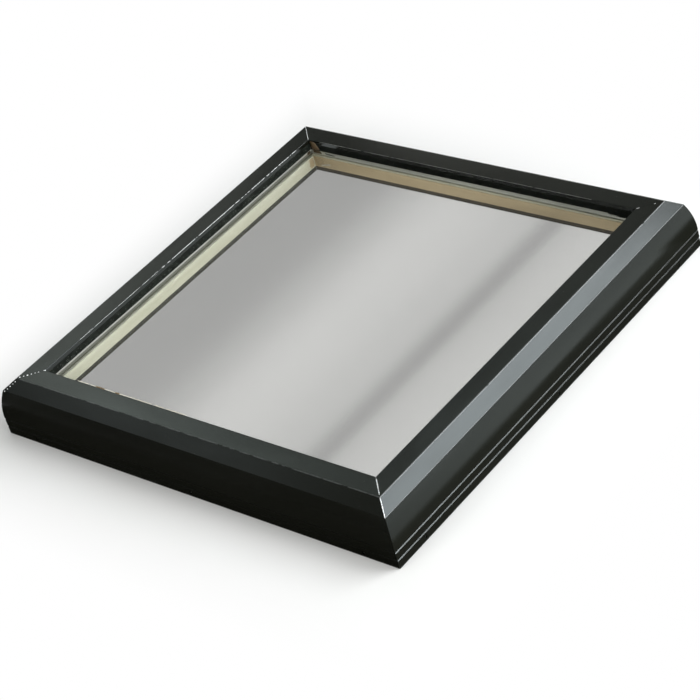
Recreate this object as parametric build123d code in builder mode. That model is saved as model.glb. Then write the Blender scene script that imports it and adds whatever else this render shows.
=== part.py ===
from build123d import *
import os
from collections import namedtuple
from math import sqrt

# Curb mount skylight: an insulating glass unit on a vinyl base frame, held down by four mitred
# aluminium cap extrusions whose skirts lap over the roof curb.
# X runs along the front, Y towards the back, Z up from the foot of the skirt.

# Plan size over the skirts
skylight_width = 673.0
skylight_depth = 673.0

# Cap extrusion, from the foot of the skirt up and inward
cap_wall = 2.0
band_height = 24.4  # upright foot of the skirt
crown_rise = 44.9  # crowned part of the skirt
crown_setback = 8.6
bevel_drop = 13.2  # flat bevel between crown and flange
bevel_setback = 16.5
flange_width = 27.9  # flat top flange
nose_depth = 6.0  # lip turned down along the flange's inner edge
corner_radius = 0.8  # rounding of the extrusion's outer corners

# Two reveal grooves along the band
groove_width = 2.2
groove_depth = 1.0
groove_spacing = 12.2

# Skirt fastener holes
fastener_diameter = 4.5
fastener_height = 5.5
fastener_corner_inset = 54.0
fasteners_per_side = 3

# Pocket in the cap that grips the glazing gasket
gasket_head_width = 5.0
pocket_rib_wall = 1.6

# Insulating glass unit
glass_recess = 16.0  # flange top to outer pane
outer_pane = 4.0
air_space = 6.4
inner_pane = 4.0
glass_bite = 15.0  # glass hidden behind the sight line
spacer_setback = 1.8
spacer_width = 7.5
spacer_wall = 0.8

# Glazing gasket, glazing tape and edge blocks
gasket_head_height = 3.6
gasket_toe = 0.7  # how far the gasket's toe reaches past the sight line
gasket_heel = 1.1
gasket_groove = 2.0  # relief groove between the gasket's two sealing feet
tape_thickness = 3.0
tape_width = 12.0
tape_setback = 1.0
block_length = 50.0
block_height = 15.0

# Vinyl base frame
base_wall = 2.2
base_height = 17.0
edge_clearance = 2.5  # glass edge to upstand
upstand_height = 8.9
barb_reach = 1.6
barb_height = 2.5
toe_width = 20.0  # bearing flange outside the upstand
toe_bead = 1.4

# Curb seal under the base frame
curb_seal_thickness = 7.1
curb_seal_width = 25.0
curb_seal_setback = 0.4

# Corner keys under the flange
key_thickness = 4.0
key_leg = 60.0
key_corner_radius = 3.0

# Fits
mitre_gap = 0.3
snap_clearance = 0.3
key_clearance = 0.3
gasket_clearance = 0.2
block_clearance = 0.2

# Heights above the foot of the skirt
crown_top = band_height + crown_rise
cap_height = crown_top + bevel_drop
flange_under = cap_height - cap_wall
nose_bottom = cap_height - nose_depth
outer_pane_top = cap_height - glass_recess
outer_pane_bottom = outer_pane_top - outer_pane
inner_pane_top = outer_pane_bottom - air_space
inner_pane_bottom = inner_pane_top - inner_pane
shelf_top = inner_pane_bottom - tape_thickness
base_bottom = shelf_top - base_height
chamber_foot = base_bottom + base_wall
chamber_height = base_height - 2 * base_wall
upstand_top = shelf_top + upstand_height
barb_under = upstand_top - barb_height

# Setbacks from the skirt's face, measured inward
flange_start = crown_setback + bevel_setback
sight_setback = flange_start + flange_width
glass_setback = sight_setback - glass_bite
upstand_inner = glass_setback - edge_clearance
upstand_outer = upstand_inner - base_wall
chamber_width = (sight_setback - upstand_inner - 2 * base_wall) / 2
toe_outer = upstand_outer - toe_width
snap_leg_inner = upstand_outer - barb_reach - snap_clearance
snap_leg_outer = snap_leg_inner - cap_wall
snap_hook_tip = upstand_outer - snap_clearance
snap_hook_top = barb_under - snap_clearance
snap_hook_bottom = snap_hook_top - barb_height
pocket_inner = sight_setback - cap_wall
pocket_outer = pocket_inner - gasket_head_width
rib_outer = pocket_outer - pocket_rib_wall
spacer_inner = sight_setback - spacer_setback
spacer_outer = spacer_inner - spacer_width

FrameSide = namedtuple("FrameSide", "name length outer inward run")
frame_sides = [
    FrameSide("front", skylight_width, skylight_depth / 2, Vector(0, 1, 0), Vector(1, 0, 0)),
    FrameSide("right", skylight_depth, skylight_width / 2, Vector(-1, 0, 0), Vector(0, 1, 0)),
    FrameSide("back", skylight_width, skylight_depth / 2, Vector(0, -1, 0), Vector(-1, 0, 0)),
    FrameSide("left", skylight_depth, skylight_width / 2, Vector(1, 0, 0), Vector(0, -1, 0)),
]


def section_plane(side):
    # Across the member at mid-length: x inward from the skirt's face, y up
    return Plane(side.inward * -side.outer, x_dir=side.inward, z_dir=side.run)


def plan_plane(side, height=0.0):
    # Level with the member: x along it, y inward from the skirt's face
    return Plane(side.inward * -side.outer + Vector(0, 0, height), x_dir=side.run, z_dir=(0, 0, 1))


def face_plane(side, height):
    # On the skirt's outer face: x along the member, y up
    return Plane(side.inward * -side.outer + Vector(0, 0, height), x_dir=side.run, z_dir=side.inward * -1)


# Cap section: one bent wall with a snap leg and a gasket rib below the flange
with BuildSketch() as cap_section:
    with BuildLine():
        band = Line((0, 0), (0, band_height))
        crown = TangentArc(band @ 1, (crown_setback, crown_top), tangent=band % 1)
        bevel = Line(crown @ 1, (flange_start, cap_height))
        flange = Line(bevel @ 1, (sight_setback, cap_height))
        Line(flange @ 1, (sight_setback, nose_bottom))
        offset(amount=cap_wall, side=Side.RIGHT)
    make_face()
    fillet(cap_section.vertices().group_by(Axis.Y)[-1], radius=corner_radius)
    fillet(cap_section.vertices().sort_by_distance(crown @ 1)[0], radius=corner_radius)
    with BuildLine():
        Polyline(
            (snap_leg_outer, flange_under),
            (snap_leg_outer, snap_hook_bottom),
            (snap_leg_inner, snap_hook_bottom),
            (snap_hook_tip, snap_hook_top - cap_wall / 2),
            (snap_hook_tip, snap_hook_top),
            (snap_leg_inner, snap_hook_top),
            (snap_leg_inner, flange_under),
            close=True,
        )
    make_face()
    with Locations((rib_outer, nose_bottom)):
        Rectangle(pocket_rib_wall, flange_under - nose_bottom, align=Align.MIN)
    with Locations((0, band_height), (0, band_height - groove_spacing)):
        Polygon(
            (0, groove_width / 2),
            (0, -groove_width / 2),
            (groove_depth, 0),
            align=None,
            mode=Mode.SUBTRACT,
        )

# Base frame section: two-chamber box with a bearing toe and a barbed upstand beside the glass
with BuildSketch() as base_section:
    with BuildLine():
        Polyline(
            (toe_outer, base_bottom),
            (sight_setback, base_bottom),
            (sight_setback, shelf_top),
            (upstand_inner, shelf_top),
            (upstand_inner, upstand_top),
            (upstand_outer, upstand_top),
            (upstand_outer - barb_reach, barb_under + barb_height / 2),
            (upstand_outer - barb_reach, barb_under),
            (upstand_outer, barb_under),
            (upstand_outer, base_bottom + base_wall),
            (toe_outer, base_bottom + base_wall),
            close=True,
        )
    make_face()
    with Locations((toe_outer, base_bottom)):
        Rectangle(base_wall, base_wall + toe_bead, align=Align.MIN)
    with Locations((upstand_inner, chamber_foot), (upstand_inner + chamber_width + base_wall, chamber_foot)):
        Rectangle(chamber_width, chamber_height, align=Align.MIN, mode=Mode.SUBTRACT)

# Gasket section: a head pressed into the cap's pocket and a foot with two sealing edges
with BuildSketch() as gasket_section:
    with BuildLine():
        Polyline(
            (rib_outer, nose_bottom),
            (sight_setback - gasket_clearance, nose_bottom),
            (sight_setback + gasket_toe, outer_pane_top),
            (rib_outer + gasket_heel, outer_pane_top),
            close=True,
        )
    make_face()
    with Locations((pocket_outer + gasket_clearance, nose_bottom)):
        Rectangle(gasket_head_width - 2 * gasket_clearance, gasket_head_height, align=Align.MIN)
    with Locations(((pocket_outer + pocket_inner) / 2, outer_pane_top)):
        Polygon(
            (-gasket_groove, 0),
            (gasket_groove, 0),
            (0, gasket_groove),
            align=None,
            mode=Mode.SUBTRACT,
        )

# Spacer section: hollow bar between the panes
with BuildSketch() as spacer_section:
    with Locations((spacer_outer, inner_pane_top)):
        spacer_skin = Rectangle(spacer_width, air_space, align=Align.MIN)
    offset(spacer_skin, amount=-spacer_wall, mode=Mode.SUBTRACT)

# Glazing tape between shelf and inner pane
with BuildSketch() as tape_section:
    with Locations((sight_setback - tape_setback - tape_width, shelf_top)):
        Rectangle(tape_width, tape_thickness, align=Align.MIN)

# Foam seal that beds the base frame on the curb
with BuildSketch() as curb_seal_section:
    with Locations((sight_setback - curb_seal_setback - curb_seal_width, base_bottom - curb_seal_thickness)):
        Rectangle(curb_seal_width, curb_seal_thickness, align=Align.MIN)

os.makedirs("parts", exist_ok=True)

mitre_reach = sight_setback + gasket_toe
mitre_trim = mitre_gap * sqrt(2)

for side in frame_sides:
    # Cap member, mitred at both ends and drilled along the foot of its skirt
    with BuildPart() as cap:
        with BuildSketch(section_plane(side)):
            add(cap_section.sketch)
        extrude(amount=side.length / 2, both=True)
        with BuildSketch(plan_plane(side)):
            Trapezoid(side.length - mitre_trim, mitre_reach, 45, align=(Align.CENTER, Align.MIN))
        extrude(amount=cap_height, mode=Mode.INTERSECT)
        fastener_pitch = (side.length - 2 * fastener_corner_inset) / (fasteners_per_side - 1)
        with Locations(face_plane(side, fastener_height)):
            with GridLocations(fastener_pitch, 1, fasteners_per_side, 1):
                Hole(fastener_diameter / 2, depth=cap_wall)
    cap.part.label = f"cap_{side.name}"
    export_step(cap.part, f"parts/cap_{side.name}.step")

    # Straight members with mitred ends that share the cap's plan
    for kind, section in (
        ("base", base_section),
        ("gasket", gasket_section),
        ("spacer", spacer_section),
        ("tape", tape_section),
        ("curb_seal", curb_seal_section),
    ):
        with BuildPart() as member:
            with BuildSketch(section_plane(side)):
                add(section.sketch)
            extrude(amount=side.length / 2, both=True)
            with BuildSketch(plan_plane(side)):
                Trapezoid(side.length - mitre_trim, mitre_reach, 45, align=(Align.CENTER, Align.MIN))
            extrude(amount=cap_height, mode=Mode.INTERSECT)
        member.part.label = f"{kind}_{side.name}"
        export_step(member.part, f"parts/{kind}_{side.name}.step")

    # Two edge blocks at the quarter points, between upstand and glass edge
    for end, share in (("a", -1), ("b", 1)):
        with BuildPart() as block:
            with BuildSketch(plan_plane(side, shelf_top)):
                with Locations((share * side.length / 4, upstand_inner)):
                    Rectangle(
                        block_length,
                        edge_clearance - block_clearance,
                        align=(Align.CENTER, Align.MIN),
                    )
            extrude(amount=block_height)
        block.part.label = f"edge_block_{side.name}_{end}"
        export_step(block.part, f"parts/edge_block_{side.name}_{end}.step")

    # Corner key: an angle flat under the flange, across the mitre at the member's far end
    with BuildPart() as key:
        with BuildSketch(plan_plane(side, flange_under)):
            key_outer = snap_leg_inner + key_clearance
            key_width = rib_outer - snap_leg_inner - 2 * key_clearance
            key_corner = side.length / 2 - key_outer
            with Locations((key_corner, key_outer)):
                Rectangle(key_leg, key_width, align=(Align.MAX, Align.MIN))
                Rectangle(key_width, key_leg, align=(Align.MAX, Align.MIN))
        extrude(amount=-key_thickness)
        fillet(key.edges().filter_by(Axis.Z).sort_by_distance((0, 0, 0))[0], radius=key_corner_radius)
    key.part.label = f"corner_key_{side.name}"
    export_step(key.part, f"parts/corner_key_{side.name}.step")

# Panes and the sealant round the edge of the glass unit
glass_width = skylight_width - 2 * glass_setback
glass_depth = skylight_depth - 2 * glass_setback

with BuildPart() as glass_outer:
    with BuildSketch(Plane.XY.offset(outer_pane_bottom)):
        Rectangle(glass_width, glass_depth)
    extrude(amount=outer_pane)
glass_outer.part.label = "glass_outer"
export_step(glass_outer.part, "parts/glass_outer.step")

with BuildPart() as glass_inner:
    with BuildSketch(Plane.XY.offset(inner_pane_bottom)):
        Rectangle(glass_width, glass_depth)
    extrude(amount=inner_pane)
glass_inner.part.label = "glass_inner"
export_step(glass_inner.part, "parts/glass_inner.step")

with BuildPart() as edge_seal:
    with BuildSketch(Plane.XY.offset(inner_pane_top)):
        Rectangle(glass_width, glass_depth)
        Rectangle(skylight_width - 2 * spacer_outer, skylight_depth - 2 * spacer_outer, mode=Mode.SUBTRACT)
    extrude(amount=air_space)
edge_seal.part.label = "edge_seal"
export_step(edge_seal.part, "parts/edge_seal.step")
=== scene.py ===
import math
import random
import bmesh
import bpy
from mathutils import Matrix, Vector, noise


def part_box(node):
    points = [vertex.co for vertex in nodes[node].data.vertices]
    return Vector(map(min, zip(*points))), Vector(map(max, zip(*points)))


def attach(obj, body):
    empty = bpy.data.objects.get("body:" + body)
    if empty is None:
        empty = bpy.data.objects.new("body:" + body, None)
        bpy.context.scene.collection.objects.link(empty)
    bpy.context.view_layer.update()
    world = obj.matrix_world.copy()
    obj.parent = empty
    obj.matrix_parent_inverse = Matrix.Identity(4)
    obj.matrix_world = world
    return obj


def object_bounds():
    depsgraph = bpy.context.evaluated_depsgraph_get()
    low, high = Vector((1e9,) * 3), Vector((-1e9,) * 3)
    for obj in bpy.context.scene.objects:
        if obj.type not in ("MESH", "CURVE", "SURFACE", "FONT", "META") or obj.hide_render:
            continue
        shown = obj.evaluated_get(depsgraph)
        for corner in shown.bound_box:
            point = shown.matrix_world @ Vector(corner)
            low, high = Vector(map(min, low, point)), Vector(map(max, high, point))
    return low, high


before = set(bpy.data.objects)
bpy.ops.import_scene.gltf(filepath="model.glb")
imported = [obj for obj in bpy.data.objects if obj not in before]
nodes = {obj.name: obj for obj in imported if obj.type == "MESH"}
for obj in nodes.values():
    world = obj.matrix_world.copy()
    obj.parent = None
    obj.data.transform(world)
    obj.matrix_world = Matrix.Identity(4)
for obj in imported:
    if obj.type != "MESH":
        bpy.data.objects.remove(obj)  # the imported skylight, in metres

scene = bpy.context.scene
cadLow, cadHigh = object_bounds()
halfPlan = cadHigh.x  # skirt face to centre
capTop = cadHigh.z
print("frame loaded,", len(nodes), "nodes, top at", round(capTop, 4))

scene.view_settings.view_transform = "Standard"

# long edges of the cap's section, inward from the skirt's face and up
capEdges = {
    "crownTop": (0.0086, 0.0693),
    "flangeStart": (0.0251, capTop),
    "flangeEnd": (0.0530, capTop),
}
sightLine = halfPlan - capEdges["flangeEnd"][0]

# shader nodes stand in rows, in the order they are made
nodeRows = {"columns": 6, "across": 240, "down": 320}


def addNode(tree, kind, **settings):
    row, column = divmod(len(tree.nodes), nodeRows["columns"])
    node = tree.nodes.new(kind)
    node.location = (column * nodeRows["across"], -row * nodeRows["down"])
    for name, value in settings.items():
        setattr(node, name, value)
    return node


def feed(tree, socket, value):
    # an output is wired to the socket, anything else is the socket's own value
    if isinstance(value, bpy.types.NodeSocket):
        tree.links.new(value, socket)
    elif socket.type == "RGBA":
        socket.default_value = (*value, 1.0)
    else:
        socket.default_value = value


def mathNode(tree, operation, *values, clamp=False):
    node = addNode(tree, "ShaderNodeMath", operation=operation, use_clamp=clamp)
    for socket, value in zip(node.inputs, values):
        feed(tree, socket, value)
    return node.outputs[0]


def mapRange(tree, value, low, high, outLow=0.0, outHigh=1.0, smooth=False):
    node = addNode(tree, "ShaderNodeMapRange", interpolation_type="SMOOTHSTEP" if smooth else "LINEAR")
    labels = ("Value", "From Min", "From Max", "To Min", "To Max")
    for label, item in zip(labels, (value, low, high, outLow, outHigh)):
        feed(tree, node.inputs[label], item)
    return node.outputs["Result"]


def colourMix(tree, factor, first, second):
    node = addNode(tree, "ShaderNodeMix", data_type="RGBA")
    factorSocket, firstSocket, secondSocket = (node.inputs[i] for i in (0, 6, 7))  # the colour ones
    feed(tree, factorSocket, factor)
    feed(tree, firstSocket, first)
    feed(tree, secondSocket, second)
    return node.outputs[2]


def stopRamp(tree, value, stops, tint):
    # colour that runs from stop to stop along a value
    start, stop = stops[0][0], stops[-1][0]
    ramp = addNode(tree, "ShaderNodeValToRGB")
    ramp.color_ramp.interpolation = "CARDINAL"
    while len(ramp.color_ramp.elements) < len(stops):
        ramp.color_ramp.elements.new(0.5)
    for element, (place, level) in zip(ramp.color_ramp.elements, stops):
        element.position = (place - start) / (stop - start)
        element.color = (*[level * part for part in tint], 1.0)
    feed(tree, ramp.inputs[0], mapRange(tree, value, start, stop))
    return ramp.outputs[0]


def objectPlace(tree):
    return addNode(tree, "ShaderNodeTexCoord").outputs["Object"]


def splitAxes(tree, place):
    axes = addNode(tree, "ShaderNodeSeparateXYZ")
    feed(tree, axes.inputs[0], place)
    return axes.outputs


def planReach(tree, axes):
    # distance from the centre, square to the nearest side
    sideways, onward = (mathNode(tree, "ABSOLUTE", axes[k]) for k in ("X", "Y"))
    return mathNode(tree, "MAXIMUM", sideways, onward)


def mixShaders(tree, factor, first, second, output):
    mix = addNode(tree, "ShaderNodeMixShader")
    for socket, source in zip(mix.inputs, (factor, first.outputs[0], second.outputs[0])):
        feed(tree, socket, source)
    feed(tree, output.inputs["Surface"], mix.outputs[0])


def newGroup(name, inputs, outputs):
    group = bpy.data.node_groups.new(name, "ShaderNodeTree")
    for label, kind, value in inputs:
        group.interface.new_socket(name=label, in_out="INPUT", socket_type=kind).default_value = value
    for label, kind in outputs:
        group.interface.new_socket(name=label, in_out="OUTPUT", socket_type=kind)
    return group, addNode(group, "NodeGroupInput").outputs, addNode(group, "NodeGroupOutput").inputs


def placeGroup(tree, group, **values):
    node = addNode(tree, "ShaderNodeGroup")
    node.node_tree = group
    for name, value in values.items():
        feed(tree, node.inputs[name], value)
    return node.outputs[0]


def newMaterial(name):
    material = bpy.data.materials.new(name)
    material.use_nodes = True
    tree = material.node_tree
    tree.nodes.clear()
    output = addNode(tree, "ShaderNodeOutputMaterial")
    shader = addNode(tree, "ShaderNodeBsdfPrincipled")
    feed(tree, output.inputs["Surface"], shader.outputs[0])
    return material, tree, shader, output


# cloudy or drawn-out grain, as a value between Low and High
grain = {"detail": 3.0, "noiseLow": 0.3, "noiseHigh": 0.7}


def buildGrain():
    group, start, end = newGroup(
        "runGrain",
        [("Scale", "NodeSocketFloat", 100.0), ("Stretch", "NodeSocketVector", (1.0, 1.0, 1.0)),
         ("Low", "NodeSocketFloat", 0.0), ("High", "NodeSocketFloat", 1.0)],
        [("Value", "NodeSocketFloat")],
    )
    stretch = addNode(group, "ShaderNodeVectorMath", operation="MULTIPLY")
    feed(group, stretch.inputs[0], objectPlace(group))
    feed(group, stretch.inputs[1], start["Stretch"])
    cloud = addNode(group, "ShaderNodeTexNoise")
    feed(group, cloud.inputs["Detail"], grain["detail"])
    feed(group, cloud.inputs["Vector"], stretch.outputs[0])
    feed(group, cloud.inputs["Scale"], start["Scale"])
    value = mapRange(group, cloud.outputs["Fac"], grain["noiseLow"], grain["noiseHigh"],
                     start["Low"], start["High"])
    feed(group, end["Value"], value)
    return group


def buildSpecks():
    # scattered small specks of dust, 0 or 1
    group, start, end = newGroup(
        "dustSpecks",
        [("Scale", "NodeSocketFloat", 300.0), ("Size", "NodeSocketFloat", 0.16),
         ("Share", "NodeSocketFloat", 0.3)],
        [("Mask", "NodeSocketFloat")],
    )
    cells = addNode(group, "ShaderNodeTexVoronoi", feature="F1")
    feed(group, cells.inputs["Vector"], objectPlace(group))
    feed(group, cells.inputs["Scale"], start["Scale"])
    split = addNode(group, "ShaderNodeSeparateColor")
    feed(group, split.inputs[0], cells.outputs["Color"])
    chosen = mathNode(group, "LESS_THAN", split.outputs[0], start["Share"])
    near = mathNode(group, "LESS_THAN", cells.outputs["Distance"], start["Size"])
    feed(group, end["Mask"], mathNode(group, "MULTIPLY", chosen, near))
    return group


# pale rub along the cap's long edges, broken up along the run: painted highlight of the edges, together with
# worn coating
wearAndShine = {"patchScale": 60.0, "patchDetail": 5.0, "cut": 0.68, "cutPerShare": 0.4, "soften": 0.14}


def buildEdgeWearAndShine():
    group, start, end = newGroup(
        "edgeWearAndShine",
        [("Width", "NodeSocketFloat", 0.0009), ("Share", "NodeSocketFloat", 0.5),
         ("FlangeOnly", "NodeSocketFloat", 0.0)],
        [("Mask", "NodeSocketFloat")],
    )
    place = objectPlace(group)
    axes = splitAxes(group, place)
    section = addNode(group, "ShaderNodeCombineXYZ")
    feed(group, section.inputs[0], mathNode(group, "SUBTRACT", halfPlan, planReach(group, axes)))
    feed(group, section.inputs[1], axes["Z"])
    nearest = None
    for edge, corner in capEdges.items():
        apart = addNode(group, "ShaderNodeVectorMath", operation="DISTANCE")
        feed(group, apart.inputs[0], section.outputs[0])
        feed(group, apart.inputs[1], (*corner, 0.0))
        far = apart.outputs["Value"]
        if edge != "flangeStart":
            far = mathNode(group, "ADD", far, start["FlangeOnly"])  # takes the painted highlight and rub off the other edges
        nearest = far if nearest is None else mathNode(group, "MINIMUM", nearest, far)
    band = mapRange(group, nearest, 0.0, start["Width"], 1.0, 0.0)
    patches = addNode(group, "ShaderNodeTexNoise")
    feed(group, patches.inputs["Scale"], wearAndShine["patchScale"])
    feed(group, patches.inputs["Detail"], wearAndShine["patchDetail"])
    feed(group, patches.inputs["Vector"], place)
    lowered = mathNode(group, "MULTIPLY", start["Share"], wearAndShine["cutPerShare"])
    cut = mathNode(group, "SUBTRACT", wearAndShine["cut"], lowered)
    whole = mathNode(group, "ADD", cut, wearAndShine["soften"])
    broken = mapRange(group, patches.outputs["Fac"], cut, whole, smooth=True)
    feed(group, end["Mask"], mathNode(group, "MULTIPLY", band, broken))
    return group


runGrain = buildGrain()
dustSpecks = buildSpecks()
edgeWearAndShine = buildEdgeWearAndShine()
print("shared effects built")

# what every finish is made from; grain may be drawn out along a member's run
evenRun = (1.0, 1.0, 1.0)


def grainTone(tree, look, scale, stretch=evenRun):
    cloud = placeGroup(tree, runGrain, Scale=scale, Stretch=stretch)
    return colourMix(tree, cloud, look["tone"], look["otherTone"])


def grainGloss(tree, shader, gloss, scale, stretch=evenRun):
    rub = placeGroup(tree, runGrain, Scale=scale, Stretch=stretch, Low=gloss[0], High=gloss[1])
    feed(tree, shader.inputs["Roughness"], rub)


def grainBump(tree, shader, distance, strength, scale, stretch=evenRun):
    bump = addNode(tree, "ShaderNodeBump")
    feed(tree, bump.inputs["Strength"], strength)
    feed(tree, bump.inputs["Distance"], distance)
    feed(tree, bump.inputs["Height"], placeGroup(tree, runGrain, Scale=scale, Stretch=stretch))
    feed(tree, shader.inputs["Normal"], bump.outputs[0])


def dulled(tree, shader, roughness, shine):
    feed(tree, shader.inputs["Roughness"], roughness)
    feed(tree, shader.inputs["Specular IOR Level"], shine)


# satin dark coating on the cap members
coat = {
    "tone": (0.0031, 0.0033, 0.0020), "otherTone": (0.0058, 0.0062, 0.0043), "cloudScale": 9.0,
    "dustTone": (0.09, 0.09, 0.085), "dustScale": 160.0, "dustSize": 0.05, "dustShare": 0.10,
    "gloss": (0.16, 0.23), "glossScale": 40.0, "shine": 0.26, "shineTint": (0.88, 0.965, 1.0),
    "peelScale": 1300.0, "peelDepth": 0.00003, "peelStrength": 0.25, "wearAndShineWidth": 0.0011,
    "frontBack": {"stretch": (0.25, 1.0, 1.0), "wearAndShineShare": 0.75, "wearAndShineTone": (0.060, 0.063, 0.062),
                  "flangeOnly": 1.0},
    "sides": {"stretch": (1.0, 0.25, 1.0), "wearAndShineShare": 1.1, "wearAndShineTone": (0.20, 0.205, 0.21),
              "flangeOnly": 0.00055},
}


def coatFinish(name, member):
    material, tree, shader, _ = newMaterial(name)
    stretch = member["stretch"]
    tone = grainTone(tree, coat, coat["cloudScale"], stretch)
    specks = placeGroup(tree, dustSpecks, Scale=coat["dustScale"], Size=coat["dustSize"],
                        Share=coat["dustShare"])
    dusty = colourMix(tree, specks, tone, coat["dustTone"])
    # pale tone along the long edges: painted highlight of the edges, together with worn coating
    rubbedAndShining = placeGroup(tree, edgeWearAndShine, Width=coat["wearAndShineWidth"], Share=member["wearAndShineShare"],
                        FlangeOnly=member["flangeOnly"])
    feed(tree, shader.inputs["Base Color"], colourMix(tree, rubbedAndShining, dusty, member["wearAndShineTone"]))
    grainGloss(tree, shader, coat["gloss"], coat["glossScale"], stretch)
    feed(tree, shader.inputs["Specular IOR Level"], coat["shine"])
    feed(tree, shader.inputs["Specular Tint"], coat["shineTint"])
    grainBump(tree, shader, coat["peelDepth"], coat["peelStrength"], coat["peelScale"])
    return material


coatAcross = coatFinish("coatAcross", coat["frontBack"])
coatAlong = coatFinish("coatAlong", coat["sides"])

# tan vinyl base frame; the side members are painted paler and the front and back members a deeper tan:
# painted light and painted shade on one vinyl
vinyl = {
    "frontBack": {"tone": (0.53, 0.42, 0.245), "otherTone": (0.64, 0.52, 0.32), "stretch": (0.12, 1.0, 1.0)},
    "sides": {"tone": (0.62, 0.62, 0.480), "otherTone": (0.67, 0.67, 0.54), "stretch": (1.0, 0.12, 1.0)},
    "toneScale": 60.0, "gloss": (0.38, 0.50), "glossScale": 120.0,
    "fineScale": 900.0, "fineDepth": 0.00003, "fineStrength": 0.2,
}


def vinylFinish(name, member):
    material, tree, shader, _ = newMaterial(name)
    stretch = member["stretch"]
    feed(tree, shader.inputs["Base Color"], grainTone(tree, member, vinyl["toneScale"], stretch))
    grainGloss(tree, shader, vinyl["gloss"], vinyl["glossScale"], stretch)
    grainBump(tree, shader, vinyl["fineDepth"], vinyl["fineStrength"], vinyl["fineScale"], stretch)
    return material


vinylAcross = vinylFinish("vinylAcross", vinyl["frontBack"])
vinylAlong = vinylFinish("vinylAlong", vinyl["sides"])

# clear panes, faintly wiped, which let the lamps through
pane = {
    "tone": (0.957, 0.957, 0.953), "otherTone": (0.938, 0.939, 0.933),
    "wipeScale": 5.0, "wipe": (1.0, 0.4, 1.0),
    "gloss": (0.0, 0.008), "glossScale": 24.0, "glossWipe": (1.0, 0.5, 1.0),
    "bend": 1.5, "lampTone": (0.956, 0.956, 0.953),
}


def paneFinish(name):
    material, tree, shader, output = newMaterial(name)
    feed(tree, shader.inputs["Base Color"], grainTone(tree, pane, pane["wipeScale"], pane["wipe"]))
    grainGloss(tree, shader, pane["gloss"], pane["glossScale"], pane["glossWipe"])
    feed(tree, shader.inputs["IOR"], pane["bend"])
    feed(tree, shader.inputs["Transmission Weight"], 1.0)
    lampWay = addNode(tree, "ShaderNodeBsdfTransparent")
    feed(tree, lampWay.inputs[0], pane["lampTone"])
    path = addNode(tree, "ShaderNodeLightPath").outputs
    passing = mathNode(tree, "ADD", path["Is Shadow Ray"], path["Is Diffuse Ray"], clamp=True)
    mixShaders(tree, passing, shader, lampWay, output)
    return material


paneGlass = paneFinish("paneGlass")

# spacer bars: drawn metal with a line of breather slits and another tone below the slits, darker on the side
# bars and lighter on the front and back; the side bars are painted far paler than the front and back bars,
# which is painted light
spacer = {
    "frontBack": {"tone": (0.38, 0.39, 0.345), "otherTone": (0.45, 0.46, 0.41),
                  "footTone": (0.46, 0.47, 0.42), "axis": "X", "stretch": (0.03, 1.0, 1.0)},
    "sides": {"tone": (0.60, 0.61, 0.57), "otherTone": (0.70, 0.71, 0.665),
              "footTone": (0.220, 0.226, 0.190), "axis": "Y", "stretch": (1.0, 0.03, 1.0)},
    "drawnScale": 500.0, "gloss": (0.32, 0.5), "glossScale": 300.0, "metal": 0.55, "foot": (-0.0006, 0.0014),
    "slitTone": (0.14, 0.145, 0.13), "slitPitch": 0.004, "slitLength": 0.45, "slitHalfHeight": 0.0003,
}


def spacerFinish(name, member):
    material, tree, shader, _ = newMaterial(name)
    drawn = grainTone(tree, member, spacer["drawnScale"], member["stretch"])
    axes = splitAxes(tree, objectPlace(tree))
    low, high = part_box("spacer_front")
    rise = mathNode(tree, "SUBTRACT", axes["Z"], (low.z + high.z) / 2)
    upper = mapRange(tree, rise, *spacer["foot"], smooth=True)
    tone = colourMix(tree, upper, member["footTone"], drawn)
    step = mathNode(tree, "FRACT", mathNode(tree, "DIVIDE", axes[member["axis"]], spacer["slitPitch"]))
    level = mathNode(tree, "ABSOLUTE", rise)
    slit = mathNode(tree, "MULTIPLY", mathNode(tree, "LESS_THAN", step, spacer["slitLength"]),
                    mathNode(tree, "LESS_THAN", level, spacer["slitHalfHeight"]))
    feed(tree, shader.inputs["Base Color"], colourMix(tree, slit, tone, spacer["slitTone"]))
    grainGloss(tree, shader, spacer["gloss"], spacer["glossScale"], member["stretch"])
    feed(tree, shader.inputs["Metallic"], spacer["metal"])
    return material


spacerAcross = spacerFinish("spacerAcross", spacer["frontBack"])
spacerAlong = spacerFinish("spacerAlong", spacer["sides"])

# rubbers, tape, foam, sealant and bare metal: one recipe, own values
softRecipe = {"toneShare": 0.25, "glossShare": 0.5, "bumpStrength": 0.5, "metal": 0.0, "shine": 0.5}
rubber = {"speckScale": 420.0, "gloss": (0.42, 0.7), "depth": 0.00012, "shine": 0.05}
tape = {"speckScale": 900.0, "speckSize": 0.3, "speckShare": 0.5, "grain": 700.0,
        "gloss": (0.6, 0.8), "depth": 0.0001}
foam = {"speckScale": 800.0, "speckSize": 0.32, "speckShare": 0.7, "grain": 500.0,
        "gloss": (0.75, 0.95), "depth": 0.0002, "shine": 0.2}
scraped = {"speckScale": 500.0, "speckSize": 0.22, "speckShare": 0.3, "grain": 600.0,
           "gloss": (0.32, 0.5), "depth": 0.00008}
sealant = {"speckScale": 220.0, "speckSize": 0.24, "speckShare": 0.35, "grain": 240.0,
           "gloss": (0.3, 0.5), "depth": 0.0003}
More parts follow.
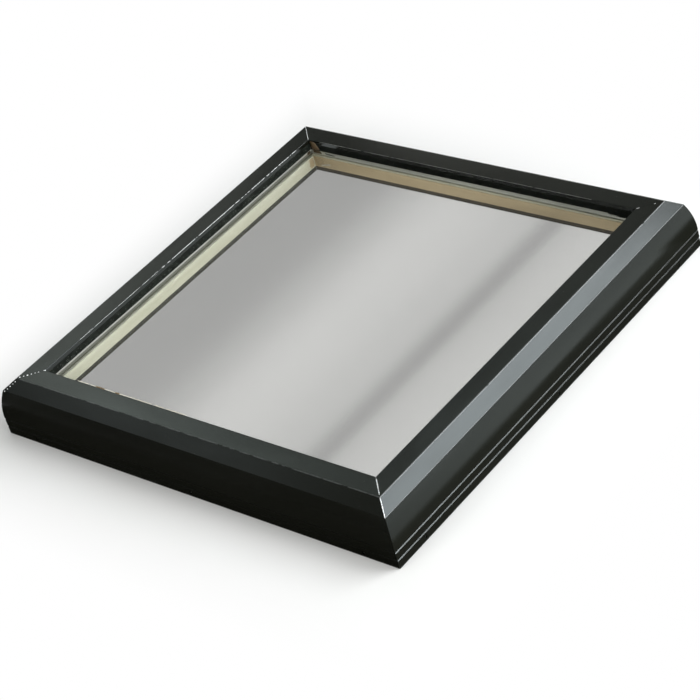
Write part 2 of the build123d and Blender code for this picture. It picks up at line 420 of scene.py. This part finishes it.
softLooks = {
    "gasketAcross": {"tone": (0.0022, 0.0029, 0.0022), "otherTone": (0.0060, 0.0078, 0.0060),
                     "speck": (0.060, 0.068, 0.060), "speckSize": 0.2, "speckShare": 0.16,
                     "grain": 420.0, **rubber},
    "gasketAlong": {"tone": (0.0024, 0.0032, 0.0024), "otherTone": (0.014, 0.017, 0.014),
                    "speck": (0.085, 0.093, 0.085), "speckSize": 0.24, "speckShare": 0.30,
                    "grain": 520.0, **rubber},
    "edgeSealant": {"tone": (0.030, 0.031, 0.030), "otherTone": (0.055, 0.056, 0.053),
                    "speck": (0.09, 0.09, 0.09), "speckScale": 200.0, "speckSize": 0.1, "speckShare": 0.1,
                    "grain": 220.0, "gloss": (0.4, 0.6), "depth": 0.0002},
    # painted shade: the side tape is dark grey where shade falls below the spacer; the front and back tape is
    # pale tan
    "tapeAlong": {"tone": (0.160, 0.167, 0.122), "otherTone": (0.205, 0.213, 0.160),
                  "speck": (0.09, 0.095, 0.075), **tape},
    "tapeAcross": {"tone": (0.50, 0.50, 0.38), "otherTone": (0.60, 0.60, 0.46),
                   "speck": (0.36, 0.36, 0.28), **tape},
    "foamAlong": {"tone": (0.021, 0.019, 0.010), "otherTone": (0.032, 0.029, 0.017),
                  "speck": (0.013, 0.012, 0.008), **foam},
    "foamAcross": {"tone": (0.048, 0.040, 0.026), "otherTone": (0.068, 0.058, 0.040),
                   "speck": (0.026, 0.022, 0.016), **foam},
    "blockRubber": {"tone": (0.018, 0.018, 0.018), "otherTone": (0.034, 0.034, 0.033),
                    "speck": (0.10, 0.10, 0.10), "speckScale": 300.0, "speckSize": 0.1, "speckShare": 0.2,
                    "grain": 300.0, "gloss": (0.5, 0.7), "depth": 0.0001},
    "keyMetal": {"tone": (0.50, 0.51, 0.52), "otherTone": (0.62, 0.63, 0.64), "speck": (0.32, 0.33, 0.34),
                 "speckScale": 260.0, "speckSize": 0.12, "speckShare": 0.25, "grain": 260.0,
                 "gloss": (0.3, 0.45), "depth": 0.00004, "metal": 1.0},
    # raw metal of the mitres; the same pale metal also paints the highlight beads along the left inner edge
    "rawMetalAndShine": {"tone": (0.72, 0.74, 0.75), "otherTone": (0.86, 0.87, 0.88), "speck": (0.40, 0.41, 0.42),
                "metal": 0.35, **scraped},
    # painted highlight: pale coat tone for the bead along the back inner edge
    "rubbedCoat": {"tone": (0.11, 0.11, 0.106), "otherTone": (0.20, 0.20, 0.19), "speck": (0.05, 0.05, 0.048),
                   **scraped},
    "brownSealant": {"tone": (0.036, 0.022, 0.008), "otherTone": (0.105, 0.071, 0.036),
                     "speck": (0.045, 0.028, 0.014), **sealant},
    "tanSealant": {"tone": (0.150, 0.098, 0.045), "otherTone": (0.25, 0.175, 0.090),
                   "speck": (0.10, 0.060, 0.030), **sealant},
    "warmSealant": {"tone": (0.37, 0.29, 0.165), "otherTone": (0.50, 0.39, 0.23),
                    "speck": (0.30, 0.22, 0.12), **sealant},
    "paleSealant": {"tone": (0.62, 0.58, 0.47), "otherTone": (0.76, 0.73, 0.63), "speck": (0.46, 0.40, 0.30),
                    "speckScale": 260.0, "speckSize": 0.2, "speckShare": 0.25, "grain": 260.0,
                    "gloss": (0.3, 0.5), "depth": 0.0002},
}


def softFinish(name):
    look = {**softRecipe, **softLooks[name]}
    material, tree, shader, _ = newMaterial(name)
    tone = grainTone(tree, look, look["grain"] * look["toneShare"])
    specks = placeGroup(tree, dustSpecks, Scale=look["speckScale"], Size=look["speckSize"],
                        Share=look["speckShare"])
    feed(tree, shader.inputs["Base Color"], colourMix(tree, specks, tone, look["speck"]))
    grainGloss(tree, shader, look["gloss"], look["grain"] * look["glossShare"])
    feed(tree, shader.inputs["Metallic"], look["metal"])
    feed(tree, shader.inputs["Specular IOR Level"], look["shine"])
    grainBump(tree, shader, look["depth"], look["bumpStrength"], look["grain"])
    return material


soft = {name: softFinish(name) for name in softLooks}
print("finishes built:", len(bpy.data.materials))

# each node's finish
nodeFinish = {"glass_outer": paneGlass, "glass_inner": paneGlass, "edge_seal": soft["edgeSealant"]}
for side in ("front", "right", "back", "left"):
    across = side in ("front", "back")
    nodeFinish[f"cap_{side}"] = coatAcross if across else coatAlong
    nodeFinish[f"base_{side}"] = vinylAcross if across else vinylAlong
    nodeFinish[f"spacer_{side}"] = spacerAcross if across else spacerAlong
    nodeFinish[f"gasket_{side}"] = soft["gasketAcross" if across else "gasketAlong"]
    nodeFinish[f"tape_{side}"] = soft["tapeAcross" if across else "tapeAlong"]
    nodeFinish[f"curb_seal_{side}"] = soft["foamAcross" if across else "foamAlong"]
    nodeFinish[f"corner_key_{side}"] = soft["keyMetal"]
    for end in ("a", "b"):
        nodeFinish[f"edge_block_{side}_{end}"] = soft["blockRubber"]
for name, node in nodes.items():
    for holder in node.material_slots:
        holder.material = nodeFinish[name]
print("finishes on", len(nodeFinish), "nodes")


def finishPiece(mesh, name, material):
    data = bpy.data.meshes.new(name)
    mesh.normal_update()
    mesh.to_mesh(data)
    mesh.free()
    for face in data.polygons:
        face.use_smooth = True
    data.materials.append(material)
    piece = bpy.data.objects.new(name, data)
    scene.collection.objects.link(piece)
    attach(piece, "root")
    return piece


# raw metal along the mitres, where the saw cut through the coating
mitres = {
    "near": {"sign": (1, -1), "radius": 0.00052, "rough": 1.0, "keep": 0.84,
             "spans": ((0.06, 0.52), (0.60, 1.0)), "seed": 11},
    "top": {"sign": (-1, 1), "radius": 0.00040, "rough": 0.6, "keep": 0.80,
            "spans": ((0.0, 1.0),), "seed": 37},
    "right": {"sign": (1, 1), "radius": 0.00022, "rough": 0.6, "keep": 0.95,
              "spans": ((0.02, 0.09), (0.38, 0.42)), "seed": 41},
}
bead = {"sides": 8, "mitreStep": 0.0006, "edgeStep": 0.0012, "endSize": 0.45, "endGrowth": 0.4, "flat": 0.55,
        "sway": 0.3, "lumpScale": 900.0, "breakScale": 420.0, "fewest": 3}


def mitrePoint(look, setback, height):
    x, y = look["sign"]
    return Vector((x * (halfPlan - setback), y * (halfPlan - setback), height))


def mitrePath(look, span, step):
    # even points from the flange's inner edge out to the top of the crown, between two shares of the way
    corners = [mitrePoint(look, *capEdges[edge]) for edge in ("flangeEnd", "flangeStart", "crownTop")]
    lengths = [(b - a).length for a, b in zip(corners, corners[1:])]
    count = max(2, round(sum(lengths) * (span[1] - span[0]) / step))
    points = []
    for i in range(count + 1):
        walked = sum(lengths) * (span[0] + (span[1] - span[0]) * i / count)
        leg = 0 if walked <= lengths[0] else 1
        points.append(corners[leg].lerp(corners[leg + 1], (walked - leg * lengths[0]) / lengths[leg]))
    return points


def lumpyBead(mesh, points, look, dice):
    # a lumpy half-sunk bead through the points, closed at both ends
    rings = []
    last = len(points) - 1
    for i, point in enumerate(points):
        ahead = (points[min(i + 1, last)] - points[max(i - 1, 0)]).normalized()
        side = ahead.cross(Vector((0, 0, 1))).normalized()
        rise = side.cross(ahead).normalized()
        taper = min(1.0, bead["endSize"] + bead["endGrowth"] * min(i, last - i))
        lump = 1.0 + look["rough"] * noise.noise(point * bead["lumpScale"] + Vector((look["seed"], 0, 0)))
        radius = look["radius"] * taper * lump
        middle = point + side * dice.uniform(-bead["sway"], bead["sway"]) * look["radius"]
        ring = []
        for k in range(bead["sides"]):
            angle = 2 * math.pi * k / bead["sides"]
            out, up = math.cos(angle) * radius, math.sin(angle) * radius * bead["flat"]
            ring.append(mesh.verts.new(middle + side * out + rise * up))
        rings.append(ring)
    for first, second in zip(rings, rings[1:]):
        for k in range(len(first)):
            n = (k + 1) % len(first)
            mesh.faces.new((first[k], first[n], second[n], second[k]))
    mesh.faces.new(list(reversed(rings[0])))
    mesh.faces.new(rings[-1])


def beadGapAt(point, look):
    level = noise.noise(point * bead["breakScale"] + Vector((0, look["seed"], 0))) * 0.5 + 0.5
    return level > look["keep"]


def beadRuns(name, look, paths):
    # beads along the paths, broken up by noise: on the mitres the gaps are where the coating held; along the
    # left and back inner edges the beads are painted highlight
    dice = random.Random(look["seed"])
    mesh = bmesh.new()
    for path in paths:
        run = []
        for point in path + [None]:
            if point is not None and not beadGapAt(point, look):
                run.append(point)
                continue
            if len(run) >= bead["fewest"]:
                lumpyBead(mesh, run, look, dice)
            run = []
    bmesh.ops.recalc_face_normals(mesh, faces=mesh.faces)
    return finishPiece(mesh, name, soft[look.get("finish", "rawMetalAndShine")])


for name, look in mitres.items():
    beadRuns(f"rawMitre_{name}", look, [mitrePath(look, span, bead["mitreStep"]) for span in look["spans"]])

# inner flange edges: beads of raw metal on the left and of pale coat at the back are painted highlight along
# the edge; in front, a pale line with tan spots
paleLine, tanLine = 0.0005 - sightLine, 0.0006 - sightLine
tanRun = {"rough": 0.6, "keep": 1.0, "finish": "tanSealant", "slot": "edge_sealant"}
innerEdges = {
    "shineBead_left": {"start": (-sightLine, -0.045), "end": (-sightLine, 0.262), "radius": 0.00042,
                        "rough": 0.6, "keep": 0.74, "seed": 51},
    "shineBead_leftNear": {"start": (-sightLine, -0.215), "end": (-sightLine, -0.050), "radius": 0.00022,
                            "rough": 0.6, "keep": 0.70, "seed": 53},
    "shineBead_back": {"start": (-0.262, sightLine), "end": (0.215, sightLine), "radius": 0.00026,
                        "rough": 0.8, "keep": 0.80, "seed": 57, "finish": "rubbedCoat", "slot": "cap_finish"},
    "lipLine_pale": {"start": (-0.222, paleLine), "end": (-0.025, paleLine), "radius": 0.00058,
                     "rough": 0.6, "keep": 0.76, "seed": 61, "finish": "paleSealant", "slot": "edge_sealant"},
    "lipLine_tanA": {"start": (-0.1880, tanLine), "end": (-0.1710, tanLine),
                     "radius": 0.00105, "seed": 63, **tanRun},
    "lipLine_tanB": {"start": (-0.1530, tanLine), "end": (-0.1440, tanLine),
                     "radius": 0.00100, "seed": 65, **tanRun},
}
edgeSink = 0.0001  # bead's middle below the flange's face


def edgePath(look):
    start, end = (Vector((*look[k], capTop - edgeSink)) for k in ("start", "end"))
    count = round((end - start).length / bead["edgeStep"])
    return [start.lerp(end, i / count) for i in range(count + 1)]


for name, look in innerEdges.items():
    beadRuns(name, look, [edgePath(look)])

# a row of small raw spots along the left mitre, on the front member's bevel below the flange
spots = {"sign": (-1, -1), "spans": ((0.0, 0.02), (0.13, 1.0)), "step": 0.0052, "size": (0.00065, 0.00125),
         "flat": 0.5, "aside": 0.0040, "sway": 0.0004, "bevelStart": 0.0004,
         "lump": 0.35, "lumpScale": 1600.0, "placeScale": 900.0, "seed": 29}


def rawSpots():
    dice = random.Random(spots["seed"])
    mesh = bmesh.new()
    along = Vector((*spots["sign"], 0)).normalized()
    for span in spots["spans"]:
        for point in mitrePath(spots, span, spots["step"]):
            size = dice.uniform(*spots["size"])
            place = point + along * dice.uniform(-spots["sway"], spots["sway"])
            if point.z < capTop - spots["bevelStart"]:
                place.x += spots["aside"]
            for vert in bmesh.ops.create_icosphere(mesh, subdivisions=2, radius=size)["verts"]:
                swell = noise.noise(vert.co * spots["lumpScale"] + place * spots["placeScale"])
                vert.co *= 1.0 + spots["lump"] * swell
                vert.co = place + Vector((vert.co.x, vert.co.y, vert.co.z * spots["flat"]))
    return finishPiece(mesh, "rawMitre_left", soft["rawMetalAndShine"])


rawSpots()
print("raw mitres laid")

# sealant left in the far corners, each smear pressed onto what it lies on
ontoBack = {"cast": (0, 1, 0), "across": (1, 0, 0)}
ontoLeft = {"cast": (-1, 0, 0), "across": (0, 1, 0)}
alongBack = {"cast": (0, 1, 0), "across": (0, 0, 1)}
ontoGlass = {"cast": (0, 0, -1), "across": (0, 1, 0)}
smears = {
    "lipSealant": {"carriers": ("cap_back", "gasket_back"), "start": (-0.2780, 0.24, 0.0805),
                   "end": (-0.2725, 0.24, 0.0668), **ontoBack, "width": (0.0090, 0.0190),
                   "thick": 0.0012, "finish": "brownSealant", "seed": 5},
    "spacerSealant_back": {"carriers": ("spacer_back",), "start": (-0.2745, 0.27, 0.0621),
                           "end": (-0.2735, 0.27, 0.0566), **ontoBack, "width": (0.0170, 0.0180),
                           "thick": 0.0008, "finish": "brownSealant", "seed": 6},
    "spacerSealant_left": {"carriers": ("spacer_left",), "start": (-0.27, 0.2790, 0.0621),
                           "end": (-0.27, 0.2790, 0.0566), **ontoLeft, "width": (0.0080, 0.0080),
                           "thick": 0.0008, "finish": "brownSealant", "seed": 10},
    "baseSealant_back": {"carriers": ("base_back",), "start": (-0.2745, 0.25, 0.0486),
                         "end": (-0.2725, 0.25, 0.0330), **ontoBack, "width": (0.0165, 0.0190),
                         "thick": 0.0010, "finish": "warmSealant", "seed": 7},
    "baseSealant_left": {"carriers": ("base_left",), "start": (-0.25, 0.2780, 0.0486),
                         "end": (-0.25, 0.2770, 0.0330), **ontoLeft, "width": (0.0095, 0.0120),
                         "thick": 0.0010, "finish": "warmSealant", "seed": 11},
    "paleSmear": {"carriers": ("base_back",), "start": (-0.2730, 0.25, 0.0352),
                  "end": (-0.2530, 0.25, 0.0395), **alongBack, "width": (0.0040, 0.0024),
                  "thick": 0.0016, "finish": "paleSealant", "seed": 8},
    "gasketSmear": {"carriers": ("glass_outer",), "start": (0.238, 0.2825, 0.075),
                    "end": (0.2800, 0.2808, 0.075), **ontoGlass, "width": (0.0010, 0.0055),
                    "thick": 0.0006, "finish": "gasketAcross", "slot": "gasket_rubber", "seed": 9},
    "spacerSmear": {"carriers": ("spacer_back",), "start": (-0.2600, 0.27, 0.0592),
                    "end": (-0.2400, 0.27, 0.0578), **alongBack, "width": (0.0024, 0.0014),
                    "thick": 0.0006, "finish": "edgeSealant", "seed": 12},
}
smearShape = {"rows": 16, "columns": 9, "sink": 0.0004, "rimSink": 0.00015, "ragged": 0.0012,
              "raggedRuns": 5.0, "sway": 0.25, "swayRuns": 3.0, "endSlope": 6.0,
              "lump": (0.75, 0.5), "lumpScale": 700.0}


def castOn(carriers, origin, direction):
    # nearest point of these nodes along the direction
    found = []
    for name in carriers:
        hit, place, _, _ = nodes[name].ray_cast(origin, direction)
        if hit:
            found.append(place)
    return min(found, key=lambda place: (place - origin).length)


def smearGrid(mesh, look):
    # rows of points on the smear's face, and as many sunk in its carrier
    shape, seed = smearShape, look["seed"]
    direction, across = Vector(look["cast"]), Vector(look["across"])
    startWidth, endWidth = look["width"]
    top, under = [], []
    for i in range(shape["rows"] + 1):
        share = i / shape["rows"]
        middle = Vector(look["start"]).lerp(Vector(look["end"]), share)
        sway = shape["sway"] * noise.noise(Vector((share * shape["swayRuns"], seed, 0.0)))
        width = (startWidth + (endWidth - startWidth) * share) * (1.0 + sway)
        endTaper = min(1.0, shape["endSlope"] * share, shape["endSlope"] * (1.0 - share))
        for k in range(shape["columns"] + 1):
            aside = 2.0 * k / shape["columns"] - 1.0
            ragged = shape["ragged"] * noise.noise(Vector((share * shape["raggedRuns"], k, seed)))
            origin = middle + across * (aside * width / 2 + ragged)
            place = castOn(look["carriers"], origin, direction)
            lump = shape["lump"][0] + shape["lump"][1] * noise.noise(origin * shape["lumpScale"])
            rise = look["thick"] * (1.0 - aside ** 2) * endTaper * lump - shape["rimSink"]
            top.append(mesh.verts.new(place - direction * rise))
            under.append(mesh.verts.new(place + direction * shape["sink"]))
    return top, under


def smearOn(name, look):
    rows, columns = smearShape["rows"], smearShape["columns"]
    mesh = bmesh.new()
    top, under = smearGrid(mesh, look)
    wide = columns + 1
    for i in range(rows):
        for k in range(columns):
            corner = i * wide + k
            mesh.faces.new([top[j] for j in (corner, corner + 1, corner + wide + 1, corner + wide)])
            mesh.faces.new([under[j] for j in (corner, corner + wide, corner + wide + 1, corner + 1)])
    rim = [i * wide for i in range(rows)] + [rows * wide + k for k in range(columns)]
    rim += [rows * wide + columns - i * wide for i in range(rows)] + [columns - k for k in range(columns)]
    for a, b in zip(rim, rim[1:] + rim[:1]):
        mesh.faces.new((top[a], top[b], under[b], under[a]))
    bmesh.ops.recalc_face_normals(mesh, faces=mesh.faces)
    return finishPiece(mesh, name, soft[look["finish"]])


for name, look in smears.items():
    smearOn(name, look)
print("sealant smeared")

sheetCells = 6  # along each edge of a stage sheet


def stageSheet(name, material, corner, first, second):
    # flat grid of the stage, from a corner along two edges
    mesh = bmesh.new()
    bmesh.ops.create_grid(mesh, x_segments=sheetCells, y_segments=sheetCells, size=0.5)
    for vert in mesh.verts:
        vert.co = Vector(corner) + Vector(first) * (vert.co.x + 0.5) + Vector(second) * (vert.co.y + 0.5)
    data = bpy.data.meshes.new(name)
    mesh.to_mesh(data)
    mesh.free()
    data.materials.append(material)
    sheet = bpy.data.objects.new(name, data)
    scene.collection.objects.link(sheet)
    return sheet


def squareSheet(name, material, reach, height):
    return stageSheet(name, material, (-reach, -reach, height), (2 * reach, 0, 0), (0, 2 * reach, 0))


def seenDirectly(tree):
    # 1 for rays from the camera, mirrored or seen through glass
    path = addNode(tree, "ShaderNodeLightPath").outputs
    direct = mathNode(tree, "ADD", path["Is Camera Ray"], path["Is Glossy Ray"])
    return mathNode(tree, "ADD", direct, path["Is Transmission Ray"], clamp=True)


# plain pale floor, white away from the skylight
floorLook = {"reach": 9.0, "drop": 0.0002, "tone": (0.80, 0.80, 0.79), "otherTone": (0.84, 0.84, 0.835),
             "cloudScale": 3.0, "roughness": 0.9, "shine": 0.1, "nearEdge": 0.345, "farEdge": 0.51}


def layFloor():
    material, tree, shader, output = newMaterial("studioFloor")
    feed(tree, shader.inputs["Base Color"], grainTone(tree, floorLook, floorLook["cloudScale"]))
    dulled(tree, shader, floorLook["roughness"], floorLook["shine"])
    reach = planReach(tree, splitAxes(tree, objectPlace(tree)))
    away = mapRange(tree, reach, floorLook["nearEdge"], floorLook["farEdge"], smooth=True)
    white = addNode(tree, "ShaderNodeEmission")
    mixShaders(tree, mathNode(tree, "MULTIPLY", seenDirectly(tree), away), shader, white, output)
    squareSheet("studioFloor", material, floorLook["reach"], cadLow.z - floorLook["drop"])


layFloor()

# grey paper across the opening, under the foam, that glows by itself for camera, mirrored and through-glass
# rays: painted light. Its stops paint a soft rise and a dark band near the right, light and shade that the
# clear panes show
paper = {
    "reach": 0.302, "drop": 0.0006, "tint": (1.0, 1.0, 0.985), "fibre": (0.99, 1.01), "fibreScale": 4.0,
    "roughness": 0.9, "shine": 0.1,
    "stops": ((-0.302, 0.511), (-0.190, 0.512), (-0.144, 0.575), (-0.083, 0.732), (-0.042, 0.814),
              (0.0, 0.816), (0.060, 0.752), (0.110, 0.682), (0.142, 0.503), (0.165, 0.665), (0.203, 0.745),
              (0.302, 0.785)),
}


def layPaper():
    material, tree, shader, output = newMaterial("greyPaper")
    tone = stopRamp(tree, splitAxes(tree, objectPlace(tree))["X"], paper["stops"], paper["tint"])
    mottled = addNode(tree, "ShaderNodeVectorMath", operation="SCALE")
    low, high = paper["fibre"]
    fibre = placeGroup(tree, runGrain, Scale=paper["fibreScale"], Low=low, High=high)
    feed(tree, mottled.inputs[0], tone)
    feed(tree, mottled.inputs["Scale"], fibre)
    feed(tree, shader.inputs["Base Color"], mottled.outputs[0])
    dulled(tree, shader, paper["roughness"], paper["shine"])
    # painted glow: the paper's own tone shines for camera, mirrored and through-glass rays
    paintedGlow = addNode(tree, "ShaderNodeEmission")
    feed(tree, paintedGlow.inputs["Color"], mottled.outputs[0])
    mixShaders(tree, seenDirectly(tree), shader, paintedGlow, output)
    squareSheet("greyPaper", material, paper["reach"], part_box("curb_seal_front")[0].z - paper["drop"])


layPaper()

# soft lamps; a gloss lamp shows only as shine
lamps = {
    "key": {"place": (1.47, 1.00, 1.68), "aim": (0.14, 0.71, 0.05), "size": (1.8, 0.60), "watts": 43.0,
            "colour": (0.97, 0.995, 1.0)},
    "groove": {"place": (1.90, 1.37, 1.39), "aim": (0.30, 1.02, 0.02), "size": (1.7, 0.25), "watts": 42.0,
               "colour": (1.0, 1.0, 1.0), "gloss": True},
    "side": {"place": (3.0, -0.6, 0.62), "aim": (-0.28, 0.0, 0.04), "size": (1.0, 0.5), "watts": 76.0,
             "colour": (1.0, 1.0, 0.97)},
    "horizon": {"place": (2.5, 1.64, 0.33), "aim": (0.33, 0.0, 0.06), "size": (2.4, 0.5), "watts": 38.0,
                "colour": (0.97, 0.995, 1.0)},
    "fill": {"place": (-0.6, -3.0, 0.62), "aim": (0.0, 0.28, 0.04), "size": (1.2, 0.5), "watts": 37.0,
             "colour": (1.0, 0.98, 0.94)},
    "overhead": {"place": (0.0, 0.0, 2.8), "aim": (0.0, 0.0, 0.0), "size": (2.4, 2.4), "watts": 30.0,
                 "colour": (1.0, 1.0, 1.0)},
}


def hangLamp(name, look):
    lamp = bpy.data.lights.new(name, "AREA")
    lamp.shape = "RECTANGLE"
    lamp.size, lamp.size_y = look["size"]
    lamp.energy = look["watts"]
    lamp.color = look["colour"]
    holder = bpy.data.objects.new(name, lamp)
    holder.location = look["place"]
    ahead = Vector(look["aim"]) - Vector(look["place"])
    holder.rotation_euler = ahead.to_track_quat("-Z", "Y").to_euler()
    scene.collection.objects.link(holder)
    holder.visible_camera = False
    holder.visible_diffuse = not look.get("gloss", False)
    return holder


hung = [hangLamp(name, look) for name, look in lamps.items()]

# pale cards overhead, whose light changes along one axis from stop to stop
# a card with its own height lies low, and shows only as shine and from above
paleCards = {
    "frontCard": {"tint": (0.90, 1.0, 0.93), "low": (-2.45, 0.50), "high": (-1.00, 0.955), "axis": "X",
                  "stops": ((-2.45, 0.8), (-2.20, 0.7), (-2.00, 2.6), (-1.82, 3.8), (-1.65, 3.4),
                            (-1.48, 2.7), (-1.15, 1.9), (-1.00, 1.6))},
    "leftCard": {"tint": (0.95, 1.0, 0.92), "low": (-2.60, 0.98), "high": (-2.205, 2.15), "axis": "Y",
                 "stops": ((0.98, 2.9), (1.15, 2.3), (1.50, 2.1), (1.75, 1.6), (2.15, 0.8))},
    "backCard": {"tint": (1.0, 1.0, 0.91), "low": (-2.20, 2.13), "high": (-1.00, 2.55), "axis": "X",
                 "stops": ((-2.20, 1.75), (-2.00, 2.1), (-1.82, 1.45), (-1.60, 1.0),
                           (-1.33, 0.7), (-1.00, 0.2))},
    "rightCard": {"tint": (0.91, 1.0, 0.95), "low": (-1.125, 0.98), "high": (-0.90, 2.02), "axis": "Y",
                  "stops": ((0.98, 2.6), (1.22, 1.75), (1.55, 1.40), (1.82, 0.75), (2.02, 0.2))},
    "bevelCard": {"tint": (0.95, 1.0, 0.98), "low": (-2.30, -1.75), "high": (-0.80, -0.90), "axis": "X",
                  "stops": ((-2.30, 0.8), (-1.75, 1.3), (-1.50, 1.05), (-1.20, 0.3), (-0.80, 0.1))},
    "skirtCard": {"tint": (0.94, 1.0, 0.98), "low": (0.405, -0.40), "high": (1.00, 1.10), "axis": "Y",
                  "height": 0.0006,
                  "stops": ((-0.40, 0.9), (-0.25, 1.1), (-0.12, 1.45), (0.10, 1.75), (0.30, 1.6),
                            (0.60, 1.5), (1.10, 1.5))},
    "lipCard": {"tint": (0.96, 1.0, 0.98), "low": (-0.2735, -0.275), "high": (-0.245, 0.275), "axis": "X",
                "height": 0.0672,
                "stops": ((-0.2735, 0.6), (-0.2715, 1.8), (-0.245, 1.8))},
}
cardHeight = 1.566
cardMost = 4.0  # brightest level that a stop may have


def hangPaleCard(name, look):
    material, tree, shader, output = newMaterial(name)
    tree.nodes.remove(shader)
    glow = addNode(tree, "ShaderNodeEmission")
    feed(tree, glow.inputs["Strength"], cardMost)
    stops = [(place, level / cardMost) for place, level in look["stops"]]
    along = splitAxes(tree, objectPlace(tree))[look["axis"]]
    feed(tree, glow.inputs["Color"], stopRamp(tree, along, stops, look["tint"]))
    feed(tree, output.inputs["Surface"], glow.outputs[0])
    (lowX, lowY), (highX, highY) = look["low"], look["high"]
    corner = (lowX, lowY, look.get("height", cardHeight))
    card = stageSheet(name, material, corner, (highX - lowX, 0, 0), (0, highY - lowY, 0))
    card.visible_camera = False
    if "height" in look:
        card.visible_diffuse = card.visible_shadow = card.visible_transmission = False
        back = addNode(tree, "ShaderNodeNewGeometry").outputs["Backfacing"]
        mixShaders(tree, back, glow, addNode(tree, "ShaderNodeBsdfTransparent"), output)
    return card


hung += [hangPaleCard(name, look) for name, look in paleCards.items()]


def clearPanes():
    # the panes mirror no lamp or pale card, so the glass stays clear from every side
    panes = bpy.data.collections.new("clearPanes")
    for name in ("glass_outer", "glass_inner"):
        panes.objects.link(nodes[name])
    for member in panes.collection_objects:
        member.light_linking.link_state = "EXCLUDE"
    for light in hung:
        light.light_linking.receiver_collection = panes


clearPanes()

# dark cards that only the coat mirrors, painting shade into its reflections of the floor: a strip on the
# floor along each side, and a low one standing in front
darkCards = {
    "near": 0.3368, "far": 0.4300, "rightFar": 0.4040, "lift": 0.0008, "cloud": 1.2, "cloudScale": 8.0,
    "frontHeight": 0.15, "frontRun": (-0.75, 0.34), "frontFade": (-0.45, 0.10),
    "stripTone": (0.038, 0.038, 0.035), "rightTone": (0.10, 0.10, 0.096),
    "frontTone": (0.17, 0.17, 0.163), "frontEndTone": (0.055, 0.055, 0.053),
}


def darkFinish(name, tone, endTone=None):
    # the tone may run to another along X
    material, tree, shader, _ = newMaterial(name)
    tones = {"tone": tone, "otherTone": tuple(darkCards["cloud"] * part for part in tone)}
    colour = grainTone(tree, tones, darkCards["cloudScale"])
    if endTone:
        fade = mapRange(tree, splitAxes(tree, objectPlace(tree))["X"], *darkCards["frontFade"])
        colour = colourMix(tree, fade, colour, endTone)
    feed(tree, shader.inputs["Base Color"], colour)
    dulled(tree, shader, 1.0, 0.0)
    return material


def layDarkCards():
    near, far = darkCards["near"], darkCards["far"]
    level = cadLow.z + darkCards["lift"]
    width, rightWidth = far - near, darkCards["rightFar"] - near
    low, high = darkCards["frontRun"]
    rise = (0, 0, darkCards["frontHeight"])
    strip = darkFinish("darkStrip", darkCards["stripTone"])
    right = darkFinish("darkRight", darkCards["rightTone"])
    front = darkFinish("darkFront", darkCards["frontTone"], darkCards["frontEndTone"])
    cards = [
        stageSheet("darkStrip_front", strip, (-far, -far, level), (2 * far, 0, 0), (0, width, 0)),
        stageSheet("darkStrip_back", strip, (-far, near, level), (2 * far, 0, 0), (0, width, 0)),
        stageSheet("darkStrip_left", strip, (-far, -near, level), (width, 0, 0), (0, 2 * near, 0)),
        stageSheet("darkStrip_right", right, (near, -near, level), (rightWidth, 0, 0), (0, 2 * near, 0)),
        stageSheet("darkFront", front, (low, -far, level), (high - low, 0, 0), rise),
    ]
    for card in cards:
        card.visible_camera = card.visible_diffuse = False
        card.visible_shadow = card.visible_transmission = False


layDarkCards()

# faint even light from all round
air = {"tint": (0.93, 0.97, 1.0), "level": 0.10}


def setAir():
    world = bpy.data.worlds.new("studioAir")
    scene.world = world
    world.use_nodes = True
    glow = world.node_tree.nodes["Background"]
    feed(world.node_tree, glow.inputs["Color"], air["tint"])
    feed(world.node_tree, glow.inputs["Strength"], air["level"])


setAir()
print("studio lit")

# camera at the photograph's viewing angle, in metres, degrees and millimetres
cameraLook = {"place": (1.9028, -1.7040, 1.7755), "azimuth": 48.345, "elevation": 35.023, "roll": -17.147,
              "lens": 120.35, "sensor": 36.0}


def setCamera():
    data = bpy.data.cameras.new("camera")
    data.lens, data.sensor_width = cameraLook["lens"], cameraLook["sensor"]
    data.sensor_fit = "HORIZONTAL"
    azimuth, elevation, roll = (math.radians(cameraLook[k]) for k in ("azimuth", "elevation", "roll"))
    flat = math.cos(elevation)
    ahead = Vector((-math.sin(azimuth) * flat, math.cos(azimuth) * flat, -math.sin(elevation)))
    level = ahead.cross(Vector((0, 0, 1))).normalized()
    upright = level.cross(ahead)
    right = level * math.cos(roll) + upright * math.sin(roll)
    up = upright * math.cos(roll) - level * math.sin(roll)
    turn = Matrix((right, up, -ahead)).transposed().to_4x4()
    holder = bpy.data.objects.new("camera", data)
    holder.matrix_world = Matrix.Translation(cameraLook["place"]) @ turn
    scene.collection.objects.link(holder)
    scene.camera = holder


setCamera()
